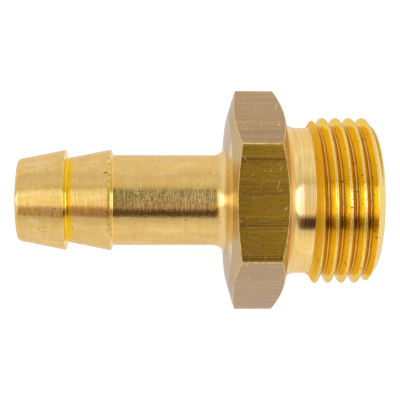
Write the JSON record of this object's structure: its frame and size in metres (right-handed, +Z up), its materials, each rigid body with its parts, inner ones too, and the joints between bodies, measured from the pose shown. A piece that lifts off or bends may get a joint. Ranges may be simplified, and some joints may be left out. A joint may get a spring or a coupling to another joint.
{
  "type": "hose barb tail",
  "caption": "Turned brass hose tail: a tapered barbed stem for a push-on hose, a spanner hexagon and a parallel male pipe thread, bored through.",
  "frame": {"origin": "on the axis, in the plane of the hexagon's thread-side face", "axes": "+X along the axis towards the threaded end, +Z up, square to the hexagon flat that the part lies on"},
  "size_m": [0.0353, 0.0218, 0.019],
  "materials": {
    "brass": "turned bright, hexagon flats as drawn"
  },
  "bodies": {
    "root": {"hose_tail": "brass"}
  },
  "joints": []
}
